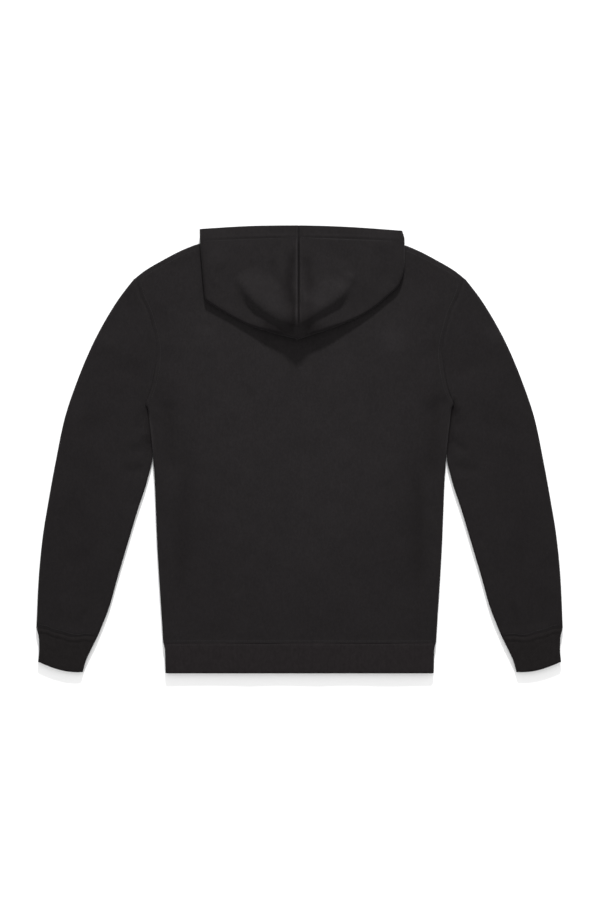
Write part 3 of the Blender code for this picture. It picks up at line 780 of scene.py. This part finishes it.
def cuff(hand, side):
    share = np.linspace(0, 1, CUFF_COLUMNS)
    rings = []
    for t in np.linspace(0, 1, CUFF_RINGS):
        path, ways = section(CUFF, t, share)
        run = path[-1] - path[0]
        outward = np.array([-run[1], run[0]]) / np.linalg.norm(run)
        bow = CUFF_BOW * t**1.5 * np.sin(math.pi * share[:, None] ** 1.15) ** 0.8
        sag = cuff_seam_sag(share) * (1 - ease(t / 0.8))
        rings.append(flat_ring(path + outward * bow + sag, ways, RIB, LAID))
    grid = np.array(rings) * (side, 1, 1)
    x, y = grid[..., 0], grid[..., 1]
    away = np.linalg.norm(grid - grid[:1], axis=2)
    from_end = np.linalg.norm(grid - grid[-1:], axis=2)
    ridge = swell(away - 5, 0.6, 2.6) - swell(away, 0.75, 1.9)
    groove = swell(away - 9.4, 0.45, 1.5)
    relief = ridge - groove - swell(from_end, 0.7, 1.4) + 0.6 * uneven(x * 1.4, y * 1.4, 2 + side)
    grid[..., 2] = tube_relief(grid, relief)
    return cloth_wall(f"cuff_knit_{hand}", grid, RIB - 0.2, shaded_cuff_rib, closed=True)


cuffs = {}
for hand, side in HANDS:
    cuffs[hand] = cuff(hand, side)
    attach(cuffs[hand], "garment")
    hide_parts(f"cuff_{hand}")

# ---- Hem rib ----
# One strip of the same rib knit, folded double, from one zip edge round the body to the other. The seam's
# edges are caught down by two rows of stitches, which leave a low ridge along the seam.

HEM_BOTTOM = -372.5
HEM_DEPTH = HEM_SEAM - HEM_BOTTOM
HEM_LAID = 9.0
HEM_HALF = (227.2, 224.9, 223.9)  # half its width at its seam, a quarter down and at its bottom
HEM_ROWS = 24
HEM_LOW_COLUMNS = 60
HEM_HIGH_COLUMNS = 70

hem_finish = rib_finish("hem rib", (0.0065, 0.0051, 0.0055), (0.0122, 0.0102, 0.0107))


def hem_rib():
    radius = (HEM_LAID - RIB) / 2
    angle = np.linspace(0, math.pi, FOLD_PARTS + 1)[1:-1]
    rows = []
    for t in np.linspace(0, 1, HEM_ROWS):
        turn_x = through((0, 0.25, 1), HEM_HALF, t) - HEM_LAID / 2
        low = np.linspace(ZIP_EDGE, turn_x, HEM_LOW_COLUMNS)
        high = np.linspace(turn_x, 0, HEM_HIGH_COLUMNS)
        x = np.concatenate([low, turn_x + radius * np.sin(angle), high])
        fold_z = HEM_LAID / 2 - radius * np.cos(angle)
        z = np.concatenate([np.full(len(low), RIB / 2), fold_z, np.full(len(high), HEM_LAID - RIB / 2)])
        y = np.full(len(x), HEM_SEAM - HEM_DEPTH * t)
        right = np.stack([x, y, z], 1)
        rows.append(np.concatenate([right, right[-2::-1] * (-1, 1, 1)]))
    grid = np.array(rows)
    x, away = grid[..., 0], HEM_SEAM - grid[..., 1]
    ridge = 0.1 - swell(away - HEM_STITCHES, 0.6, 1.1)
    round_off = swell(HEM_DEPTH - away, 0.8, 1.5) + swell(away, 1.3, 1.2)
    waves = 0.25 * np.sin(x / 21 + 0.8 * np.sin(x / 67)) * ease(away / 20)
    grid[..., 2] = tube_relief(grid, ridge - round_off + waves)
    return cloth_wall("hem_knit", grid, RIB - 0.2, hem_finish)


hem = hem_rib()
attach(hem, "garment")
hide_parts("hem_rib")

# ---- Hood ----
# Two halves of fleece joined by a seam down the middle, turned down on the back. The face edge is hemmed
# with a row of stitches. The doubled cloth stands up along its fold, and sinks in troughs toward the tip.

HOOD_SEAM_X = -2.5
HOOD_TOP = 372.5
HOOD_WIDE = 164.5  # from the middle seam to the side, at the top
LAST_SPOKE = 8
# dark is how much painted shade lies along the fold at each spoke
HOOD_EDGE = dict(
    left=dict(
        at=(0, 1, 2, 3, 4, 4.45, 5, 6, 7, 8),
        out=(0, 49, 82.5, 116, 145.2, 154.8, 156.6, 160.2, 163.6, 164.5),
        y=(183, 195.5, 207.5, 224.8, 242.5, 250, 266, 308, 347, 367),
        ridge=(25, 20.7, 15.7, 14.4, 15.4, 16, 17, 18, 17.5, 16),
        dark=(8, 9, 9, 9, 10, 11, 13, 13, 4, 0),
    ),
    right=dict(
        at=(0, 1, 2, 3, 4, 5, 6, 7, 8),
        out=(0, 47.5, 87.5, 122.5, 149.5, 168.5, 177, 177.5, 174),
        y=(183, 198.5, 214, 233.5, 255.5, 275, 308, 347, 364),
        ridge=(25, 21.3, 17, 14.6, 14.6, 15.5, 16.5, 17, 16),
        dark=(8, 9, 9, 9, 8, 5, 3, 2, 0),
    ),
)
HOOD_UNDER = dict(
    at=(0, 1, 2, 3, 4, 5, 5.5, 6, 6.5, 7, 7.25, 7.5, 7.75, 8),
    fold_z=(9.4, 9.4, 9.4, 9.4, 9.4, 9.4, 9.4, 9.4, 9.4, 9.4, 8.2, 6.4, 3.8, 1.4),
    way_out=(0, 36, 62, 90, 112, 124, 122, 117, 111, 104, 96, 85, 76, 66),
    way_y=(255, 258, 264, 276, 292, 315, 330, 345, 356, 363.5, 366.5, 368, 369, 370),
    way_z=(9.4, 9.4, 9.4, 9.4, 9.4, 9.5, 9.6, 9.6, 9.6, 8.8, 7.8, 6.0, 4.2, 3.0),
    end_out=(0, 25, 45, 65, 82, 97, 99, 98.5, 97.5, 95, 89, 72.5, 46, 8),
    end_y=(310, 310, 311, 313, 320, 346, 352, 356, 358, 352.5, 332.5, 309.5, 288, 277),
    end_z=(9.4, 9.4, 9.4, 9.4, 9.4, 9.6, 9.6, 9.5, 8.9, 7.2, 4.8, 3.5, 3.4, 3.6),
)
HOOD_START = 18.4  # its upper layer's height where the spokes start
HOOD_LOWEST = 12.4
HOOD_FOLD_PARTS = 11
UNDER_COLUMNS = 30
HALF_GAP = 0.15
GATHERED = 1.0  # how thick the cloth is in the neck seam
HOOD_SPOKES = (0, 0.02, 0.04, 0.06, 0.085, 0.12, 0.16, 0.21, *np.linspace(0.27, LAST_SPOKE, 104))
HOOD_SHARES = np.array((0, 0.005, 0.01, 0.015, 0.019, 0.023, 0.028, 0.036, *np.linspace(0.05, 1, 50)))
HOOD_CREASES = (
    (
        (
            *((-104, 292), (-97, 280), (-84, 257), (-72, 243), (-60, 233)),
            *((-48, 225), (-35, 217), (-20, 211), (-1, 202)),
        ),
        -9.5,
        (27, 8),
        (0.1, 1.0),
    ),
    (((90, 294), (86, 280), (77, 266), (67, 253)), -2.5, (4.5, 17)),
    (((84, 280), (77, 266), (67, 253), (50, 241), (26, 227), (6, 213), (-4, 203)), -9.0, (8, 26), (0.1, 1.0)),
    (((-10, 330), (-13, 300), (-17, 268), (-12, 222)), 4.2, (5, 11)),
    (((11, 322), (13, 292), (17, 268), (13, 246)), 2.6, 9),
    (((-150, 326), (-126, 300)), -1.6, 15),
    (((-157, 300), (-152, 282), (-138, 262)), 2.2, 5),
    (((128, 338), (142, 306), (138, 276)), 1.4, 13),
    (((-46, 318), (-44, 288), (-30, 268)), 1.7, 8),
)
# Painted shade on the hood, and below zero painted highlight: in its pockets and troughs, beside the middle
# seam and near the tip
HOOD_PAINTED_SHADING = (
    (((-9, 326), (-12, 290), (-15, 254), (-12, 206)), 7.5, (5, 14), (0.1, 0.9)),
    (((-11, 256), (-10, 208)), 5.5, (5, 14), (0.3, 0.8)),
    (((10, 250), (9, 208)), 6, (15, 5), (0.3, 0.8)),
    (((-38, 282), (-34, 256)), 1.4, 10),
    (((-90, 276), (-84, 262)), 1.5, 8),
    (((84, 264), (140, 252)), 1.3, 18),
    (((-32, 276), (-29, 262)), 2.5, 8),
    (((-46, 318), (-48, 290)), 1.6, 9),
    (((12, 322), (14, 280), (16, 250), (14, 206)), 5.0, (13, 5), (0.0, 0.9)),
    (((46, 234), (24, 220)), 1.6, 9),
    (((78, 238), (98, 250), (124, 274)), 3.2, 13),
    (((52, 214), (84, 226), (112, 244)), 1.6, 9),
    (((-60, 211), (-50, 204), (-28, 195)), 12, 7, (0.5, 0.4)),
    (((-8.5, 268), (-8.5, 202)), 8, 3.6),
    (((3.5, 262), (4, 202)), 8, 3.6),
    (((48, 210), (28, 200), (14, 194)), 4.5, 8, (0.3, 0.2)),
    (((-92, 230), (-62, 210)), 1.8, 8),
    (((-58, 252), (-44, 242)), -1.0, 12),
    (((32, 304), (84, 298)), -0.9, 14),
    (((-150, 318), (-128, 300)), -0.8, 14),
)
HOOD_SEAM = dict(left=(1.3, 2.8), right=(3.2, 4.6))  # how far the seam's dark line and its lip are out


def under_layer(start, low, p):
    """A spoke of the hood's lower layer, from its fold to the neck seam."""
    t = np.linspace(0, 1, UNDER_COLUMNS)
    at = HOOD_UNDER["at"]
    way = [through(at, HOOD_UNDER["way_" + c], p) for c in ("out", "y", "z")]
    end = [through(at, HOOD_UNDER["end_" + c], p) for c in ("out", "y", "z")]
    x, y = (through((0, 0.5, 1), (start[i], way[i], end[i]), t) for i in (0, 1))
    z = through((0, 0.5, 0.75, 1), (low, way[2], end[2], end[2]), t)
    return np.stack([x, y, z + slider_bump(x, y)], 1)


def hood_height(hand, x, y, out):
    """What creases, the middle seam and the face hem add to the hood's upper layer, out from its middle."""
    seam_shows = ease((y - 192) / 30)
    line, lip = HOOD_SEAM[hand]
    middle = swell(out - lip - 0.3, 1.2, 1.3) - swell(out, 2.8, line)
    below_edge = HOOD_TOP - 5.0 * (out / HOOD_WIDE) ** 2 - y
    hemmed = swell(below_edge - 17, 0.4, 2.4) - swell(below_edge - 21, 0.3, 1.8)
    return middle * seam_shows + hemmed + 1.4 * uneven(x * 1.3, y * 1.3, 1.1) - creased(x, y, HOOD_CREASES)


def hood_painted_shading(hand, x, y, out, rim, dark):
    """The hood's painted shading: painted shade in its creases and pockets, along the middle seam and where
    the cloth turns under at its fold, painted highlight on the seam's lip, and a little painted shade all
    over.
    """
    sunk = np.maximum(creased(x, y, HOOD_CREASES), 0) + creased(x, y, HOOD_PAINTED_SHADING) + 1.2
    line, lip = HOOD_SEAM[hand]
    # Painted shade in the middle seam, and a painted highlight on its lip
    seam = swell(out, 30, line) - swell(out - lip, 9, 0.8)
    seam_shows = ease((y - 196) / 26) * (0.3 + 0.7 * ease((362 - y) / 30))
    # Painted shade along the fold, where the hood's edge turns under and stands over the back
    folded = dark * (swell(rim, 1, 2.4) + swell(rim, 0.3, 8))
    return sunk + seam * seam_shows + folded


def upper_layer(hand, side, p, start, turn, high):
    """A spoke of the hood's upper layer, from its top edge to its fold."""
    share = HOOD_SHARES
    flat = start + (turn - start) * share[:, None]
    flat[:, 1] += 1.6 * np.sin(math.pi * share) * (p / LAST_SPOKE) ** 12
    top = HOOD_START + (high - HOOD_START) * ease(share)
    x, y = HOOD_SEAM_X + side * flat[:, 0], flat[:, 1]
    top = np.maximum(top + hood_height(hand, x, y, flat[:, 0]) * (1 - share**9), HOOD_LOWEST)
    return np.concatenate([flat, top[:, None]], 1)


def hood_spoke(hand, side, p):
    """A line over the hood's cloth, from its top edge round the fold to the neck seam, and its painted
    shading.
    """
    outline = HOOD_EDGE[hand]
    start = np.array([0, HOOD_TOP - 10 * (1 - p / LAST_SPOKE)])
    edge = np.array([through(outline["at"], outline[c], p) for c in ("out", "y")])
    way = (edge - start) / np.linalg.norm(edge - start)
    high = through(outline["at"], outline["ridge"], p) - CLOTH / 2
    low = through(HOOD_UNDER["at"], HOOD_UNDER["fold_z"], p)
    half = (high - low) / 2
    deep = min(half, 2.5 + 0.5 * half)
    turn = edge - way * (deep + CLOTH / 2)
    angle = np.linspace(0, math.pi, HOOD_FOLD_PARTS + 1)[1:-1, None]
    fold = turn + way * deep * np.sin(angle)
    fold = np.concatenate([fold, low + half * (1 + np.cos(angle))], 1)
    upper = upper_layer(hand, side, p, start, turn, high)
    spoke = np.concatenate([upper, fold, under_layer(turn, low, p)])
    out, y = spoke[:, 0], spoke[:, 1]
    rim = np.linalg.norm(spoke[:, :2] - edge, axis=1)
    dark = through(outline["at"], outline["dark"], p)
    return spoke, hood_painted_shading(hand, HOOD_SEAM_X + side * out, y, out, rim, dark)


def hood_half(hand, side):
    spokes, shading_maps = zip(*(hood_spoke(hand, side, p) for p in HOOD_SPOKES))
    grid = np.array(spokes)
    grid[..., 0] = HOOD_SEAM_X + side * (grid[..., 0] - HALF_GAP)
    away = np.hypot(np.abs(grid[..., 0] - HOOD_SEAM_X) - NECK_SIDE + 8, grid[..., 1] - 345)
    gathered = GATHERED + (CLOTH - GATHERED) * ease(away / 45 - 0.6)
    thick = np.where(grid[..., 2] < 11, gathered, CLOTH)
    return cloth_wall(f"hood_cloth_{hand}", grid, thick, fleece, halved=True, painted_shading=np.array(shading_maps))


hoods = {}
for hand, side in HANDS:
    hoods[hand] = hood_half(hand, side)
    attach(hoods[hand], "garment")
    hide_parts(f"hood_{hand}")

# ---- Stitching ----
# Black spun thread. Two rows hold the hem's seam, one row each the cuffs', the armholes' and the shoulders',
# the hood's hem and the fronts' turned edges. A stitch is a short, slightly sunk run of thread.

STEP = 3.3  # from one stitch to the next
THREAD = 0.24
THREAD_SIDES = 5
THREAD_RINGS = ((0.0, 0.35), (0.22, 1.0), (0.78, 1.0), (1.0, 0.35))  # places along a stitch, and sizes
OVER_UPPER = 0.02  # from the cloth's upper or under face up to the thread's middle
OVER_UNDER = 0.14


def thread_finish():
    finish = Finish("sewing thread", Metallic=0.0, IOR=1.5, Specular_IOR_Level=0.3, Roughness=0.6)
    twist = finish.noise(0.0006, detail=1, stretch=(1, 1, 2))
    finish.set("Base Color", finish.mixed(twist, (0.005, 0.0043, 0.0046), (0.0115, 0.0102, 0.0107)))
    finish.raised(twist * 0.00008)
    return finish


thread = thread_finish()


def spaced(line, step):
    """Points along a line of corners, a step apart."""
    line = np.array(line, float)
    reached = np.concatenate([[0], np.cumsum(np.linalg.norm(np.diff(line, axis=0), axis=1))])
    at = np.arange(step / 2, reached[-1], step)
    return np.stack([np.interp(at, reached, line[:, i]) for i in (0, 1)], 1)


def stitch_row(surface, line, under):
    """The ends of each stitch of a row that is sewn along a line, on a cloth's upper or under face."""
    ends = []
    points = spaced(line, STEP / 4)
    for start, end in zip(points[::4], points[3::4]):
        pair = []
        for x, y in (start, end):
            origin = Vector((x * MM, y * MM, -0.01 if under else 0.08))
            hit, facing, _, _ = surface.ray_cast(origin, Vector((0, 0, 1 if under else -1)))
            if hit is not None:
                pair.append(np.array(hit) / MM + np.array((0, 0, OVER_UNDER if under else OVER_UPPER)))
        if len(pair) == 2:
            ends.append(pair)
    return ends


def stitch(start, end):
    """The points of a stitch's thread, in rings that draw in at its ends."""
    run = (end - start) / np.linalg.norm(end - start)
    across = np.cross(run, (0, 0, 1))
    up = np.cross(across, run)
    points = []
    for share, size in THREAD_RINGS:
        middle = start + (end - start) * share
        for a in np.linspace(0, 2 * math.pi, THREAD_SIDES + 1)[:-1]:
            points.append(middle + THREAD * size * (across * math.cos(a) + up * math.sin(a)))
    return points


def ring_faces(first, sides, rings):
    """The faces of a closed form made of rings of points, from the number of its first point."""
    faces = []
    last = first + (rings - 1) * sides
    for ring in range(first, last, sides):
        for i in range(sides):
            a, b = ring + i, ring + (i + 1) % sides
            faces.append((a, b, b + sides, a + sides))
    faces.append(tuple(range(first + sides - 1, first - 1, -1)))
    faces.append(tuple(range(last, last + sides)))
    return faces


def stitching(name, sewn):
    """Rows of stitches as one piece. sewn has the cloth, the rows and which face they are on."""
    points, faces = [], []
    for cloth, lines, under in sewn:
        mesh = cloth.data
        surface = BVHTree.FromPolygons([v.co for v in mesh.vertices], [p.vertices for p in mesh.polygons])
        for line in lines:
            for start, end in stitch_row(surface, line, under):
                faces += ring_faces(len(points), THREAD_SIDES, len(THREAD_RINGS))
                points += stitch(start, end)
    mesh = bpy.data.meshes.new(name)
    mesh.from_pydata(np.array(points) * MM, [], faces)
    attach(finished(name, mesh, thread), "garment")


def along_table(table, first, last, away):
    """Points along a table's line, moved in by a distance."""
    y = np.linspace(first, last, 24)
    return [(through(table["y"], table["x"], h) - away, h) for h in y]


def mirrored(line):
    return [(-x, y) for x, y in line]


hem_top = [(-222, HEM_SEAM + HEM_STITCHES), (222, HEM_SEAM + HEM_STITCHES)]
hem_low = [(-220, HEM_SEAM - HEM_STITCHES), (220, HEM_SEAM - HEM_STITCHES)]
stitching("hem_stitches", ((back, [hem_top], False), (hem, [hem_low], False)))

armhole_line = along_table(ARMHOLE, UNDERARM + 8, ARMHOLE_TOP - 3, away=6.5)
shoulder_line = [(x, shoulder_seam(x) - 5.0) for x in np.linspace(178, 262, 20)]
body_rows = [armhole_line, mirrored(armhole_line), shoulder_line, mirrored(shoulder_line)]
stitching("body_stitches", ((back, body_rows, False),))

cuff_sewn = []
for hand, side in HANDS:
    share = np.linspace(0.02, 0.98, 20)
    level, _ = section(SLEEVE, 0.992, share)
    row = [(side * x, y) for x, y in level + cuff_seam_sag(share)]
    cuff_sewn.append((sleeves[hand], [row], False))
stitching("cuff_stitches", cuff_sewn)

hood_sewn = []
for hand, side in HANDS:
    outs = np.linspace(4, 158, 30)
    row = [(HOOD_SEAM_X + side * out, through((0, HOOD_WIDE), (352, 346), out)) for out in outs]
    hood_sewn.append((hoods[hand], [row], False))
stitching("hood_stitches", hood_sewn)

edge_sewn = []
for hand, side in HANDS:
    x = side * (ZIP_EDGE + EDGE_STITCHES)
    edge_sewn.append((fronts[hand], [[(x, HEM_SEAM + 4), (x, 270)]], True))
stitching("zip_edge_stitches", edge_sewn)

# ---- Zip ----
# Moulded resin teeth on two woven tapes, with a painted metal slider near the neck and its pull tab. The
# closed chain is two rows of teeth that lock into each other. It is on the front, so it faces down here.

CHAIN_LOW, CHAIN_HIGH = 3.2, 5.2
CHAIN_TOP = 267.0
PITCH = 2.4
FIRST_TOOTH = 2.6  # from the hem's bottom
TOOTH = (  # out from the chain's middle and along it, round the foot, the neck and the head
    *((3.0, -0.75), (3.0, 0.75), (1.2, 0.6), (0.5, 0.95)),
    *((-0.7, 0.8), (-0.7, -0.8), (0.5, -0.95), (1.2, -0.6)),
)
TOOTH_MIDDLE = 1.3
TOOTH_LONG = 0.62
TOOTH_LEVELS = ((CHAIN_LOW, 0.8), (CHAIN_LOW + 0.4, 1), (CHAIN_HIGH - 0.4, 1), (CHAIN_HIGH, 0.8))


def resin_finish():
    finish = Finish("moulded resin", Metallic=0.0, IOR=1.5, Specular_IOR_Level=0.5)
    grain = finish.noise(0.0012, detail=2)
    finish.set("Base Color", finish.mixed(grain, (0.012, 0.012, 0.012), (0.02, 0.02, 0.021)))
    finish.set("Roughness", 0.36 + grain * 0.16)
    finish.raised(grain * 0.00002)
    return finish


def tape_finish():
    finish = Finish("woven tape", Metallic=0.0, IOR=1.5, Specular_IOR_Level=0.25)
    across, along = finish.on_frame()
    warp = (across / 0.0006 * (2 * math.pi)).wave()
    weft = ((along / 0.0007 + across / 0.0012) * (2 * math.pi)).wave()
    lint = finish.noise(0.002, detail=2)
    finish.raised(warp * 0.00006 + weft * 0.00005)
    share = warp * 0.3 + weft * 0.3 + lint * 0.4
    finish.set("Base Color", finish.mixed(share, (0.007, 0.007, 0.0075), (0.017, 0.017, 0.018)))
    finish.set("Roughness", 0.75 + lint * 0.15)
    return finish


def metal_finish():
    finish = Finish("painted metal", IOR=1.5)
    rubbed = finish.noise(0.004, detail=4, roughness=0.7)
    worn = rubbed.between(0.62, 0.72)
    finish.set("Base Color", finish.mixed(worn, (0.02, 0.02, 0.021), (0.16, 0.16, 0.165)))
    finish.set("Metallic", 0.35 + worn * 0.6)
    finish.set("Roughness", 0.3 + rubbed * 0.25)
    finish.raised(rubbed * 0.00001)
    return finish


def zip_teeth():
    """Two rows of teeth, each a foot on its tape, a neck and a wider head that locks past the middle."""
    points, faces = [], []
    count = int((CHAIN_TOP - HEM_BOTTOM - 3) / PITCH)
    for row, side in enumerate((-1, 1)):
        for i in range(count):
            y = HEM_BOTTOM + FIRST_TOOTH + (i + row / 2) * PITCH
            faces += ring_faces(len(points), len(TOOTH), len(TOOTH_LEVELS))
            for z, size in TOOTH_LEVELS:
                for out, long in TOOTH:
                    x = TOOTH_MIDDLE + (out - TOOTH_MIDDLE) * size
                    points.append((side * x, y + long * size * TOOTH_LONG, z))
    mesh = bpy.data.meshes.new("zip_teeth")
    mesh.from_pydata(np.array(points) * MM, [], faces)
    return finished("zip_teeth", mesh, resin_finish())


teeth = zip_teeth()
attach(teeth, "garment")
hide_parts("zip_chain")

tape, metal = tape_finish(), metal_finish()
plain_nodes = {"zip_tape_left": tape, "zip_tape_right": tape, "zip_slider": metal, "pull_tab": metal}
for node, finish in plain_nodes.items():
    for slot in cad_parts[node].material_slots:
        slot.material = finish.material

# ---- The cuts ----
# Each piece of cloth was cut flat before it was sewn. As they lie, the sleeves, cuffs and hood measure 15 to
# 25% less than their cuts, and the rest within 6%.

# ---- Floor, light and camera ----
# A plain white floor, an even white surround, and one soft lamp from beyond the hood. The camera looks
# straight down.


def floor(half, level):
    finish = Finish("white floor", Roughness=1.0, Specular_IOR_Level=0.0)
    finish.set("Base Color", (0.92, 0.92, 0.92, 1))
    mesh = bpy.data.meshes.new("floor")
    corners = [(-half, -half), (half, -half), (half, half), (-half, half)]
    mesh.from_pydata([(x, y, level) for x, y in corners], [], [(0, 1, 2, 3)])
    mesh.materials.append(finish.material)
    made = bpy.data.objects.new("floor", mesh)
    bpy.context.collection.objects.link(made)


def surround(strength):
    world = bpy.data.worlds.new("surround")
    world.use_nodes = True
    world.node_tree.nodes["Background"].inputs["Color"].default_value = (1, 1, 1, 1)
    world.node_tree.nodes["Background"].inputs["Strength"].default_value = strength
    bpy.context.scene.world = world


def lamp(azimuth, elevation, away, size, power):
    """A soft square lamp that faces the garment's middle."""
    a, e = math.radians(azimuth), math.radians(elevation)
    way = Vector((math.sin(a) * math.cos(e), math.cos(a) * math.cos(e), math.sin(e)))
    light = bpy.data.lights.new("soft_lamp", "AREA")
    light.size = size
    light.energy = power
    made = bpy.data.objects.new("soft_lamp", light)
    made.location = way * away
    made.rotation_euler = way.to_track_quat("Z", "Y").to_euler()
    bpy.context.collection.objects.link(made)


def camera(place, lens):
    shot = bpy.data.cameras.new("camera")
    shot.type = "PERSP"
    shot.sensor_fit = "VERTICAL"
    shot.sensor_height = 36
    shot.lens = lens
    made = bpy.data.objects.new("camera", shot)
    made.location = place
    bpy.context.collection.objects.link(made)
    bpy.context.scene.camera = made


floor(half=6, level=-0.0006)
surround(1.0)
lamp(azimuth=2, elevation=21.5, away=5.0, size=0.35, power=392)
camera(place=(0.00067, -0.00083, 3.55), lens=85)
bpy.context.scene.view_settings.view_transform = "Standard"
